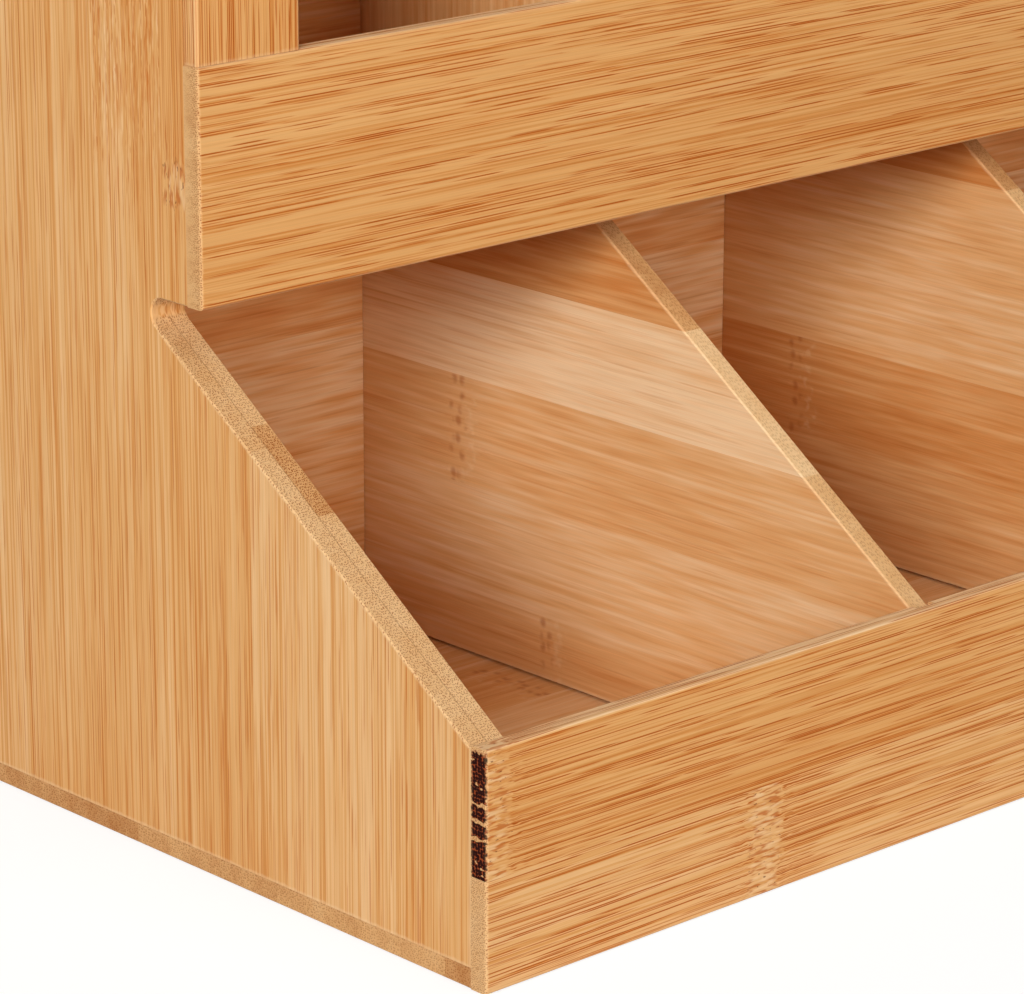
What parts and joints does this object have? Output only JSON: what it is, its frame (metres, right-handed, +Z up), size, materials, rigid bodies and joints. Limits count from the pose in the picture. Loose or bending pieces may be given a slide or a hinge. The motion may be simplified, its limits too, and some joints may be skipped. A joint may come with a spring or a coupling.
{
  "type": "tea bag organizer box",
  "caption": "Bamboo tea bag organizer box: open trays with sloping sides below, a shelf of windowed cells above, closed by a rear-hinged lid.",
  "frame": {"origin": "middle of the footprint on the surface the box stands on", "axes": "+X along the front from left to right as seen from the front, +Y from the front to the back, +Z up"},
  "size_m": [0.3328, 0.1674, 0.2684],
  "materials": {
    "bamboo": "satin, clear lacquer on natural laminated bamboo",
    "hinge_brass": "satin"
  },
  "bodies": {
    "box": {"base_panel": "bamboo", "side_panel_left": "bamboo", "side_panel_right": "bamboo", "back_panel": "bamboo", "tray_lip": "bamboo", "tray_divider_1": "bamboo", "tray_divider_2": "bamboo", "shelf_panel": "bamboo", "lintel": "bamboo", "end_stile_left": "bamboo", "end_stile_right": "bamboo", "mid_stile_1": "bamboo", "mid_stile_2": "bamboo", "top_rail": "bamboo", "cell_divider_1": "bamboo", "cell_divider_2": "bamboo", "hinge_leaf_box_left": "hinge_brass", "hinge_leaf_box_right": "hinge_brass", "hinge_pin_left": "hinge_brass", "hinge_pin_right": "hinge_brass", "hinge_screws_box": "hinge_brass"},
    "lid": {"lid_panel": "bamboo", "hinge_leaf_lid_left": "hinge_brass", "hinge_leaf_lid_right": "hinge_brass", "hinge_screws_lid": "hinge_brass"}
  },
  "joints": [
    {"name": "lid_hinge", "type": "hinge", "parent": "box", "child": "lid", "pos_m": [0, 0.08192, 0.2602], "axis": [-1, 0, 0], "range_deg": [0, 180]}
  ]
}
